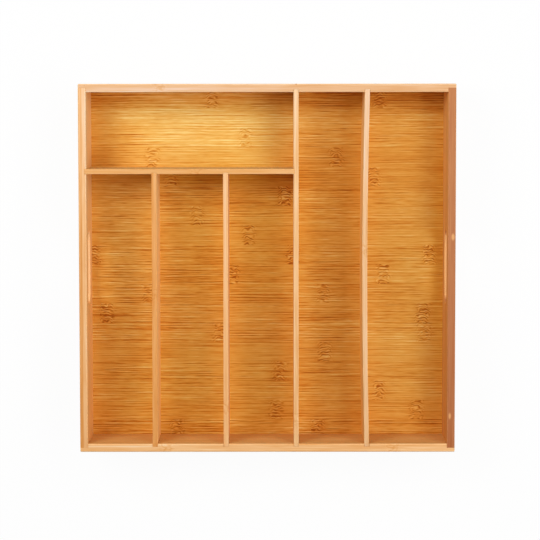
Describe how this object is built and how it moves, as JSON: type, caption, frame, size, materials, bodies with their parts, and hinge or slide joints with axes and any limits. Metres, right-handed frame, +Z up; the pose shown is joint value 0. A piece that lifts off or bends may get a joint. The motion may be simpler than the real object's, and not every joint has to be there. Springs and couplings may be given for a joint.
{
  "type": "cutlery tray",
  "caption": "Square open bamboo cutlery tray with a cross compartment at the back, long compartments in front of and beside it, and a hand-hole in each side wall.",
  "frame": {"origin": "middle of the tray's footprint, on the surface that it stands on", "axes": "+Z up, +X to the right along the rails, +Y to the back, where the cross compartment is"},
  "size_m": [0.38, 0.373, 0.06],
  "materials": {
    "pale_bamboo": "satin lacquered bamboo",
    "honey_bamboo": "satin lacquered bamboo",
    "light_bamboo": "satin lacquered bamboo",
    "dark_bamboo": "satin lacquered bamboo",
    "floor_bamboo": "satin lacquered bamboo",
    "divider_bamboo": "satin lacquered bamboo",
    "brad_steel": "plain steel, dulled"
  },
  "bodies": {
    "root": {"back_rail": "pale_bamboo", "front_rail": "honey_bamboo", "left_wall": "light_bamboo", "right_wall": "dark_bamboo", "floor_panel": "floor_bamboo", "long_divider_left": "divider_bamboo", "long_divider_right": "divider_bamboo", "cross_divider": "divider_bamboo", "short_divider_left": "divider_bamboo", "short_divider_right": "divider_bamboo", "corner_brads": "brad_steel", "divider_brads": "brad_steel"}
  },
  "joints": []
}
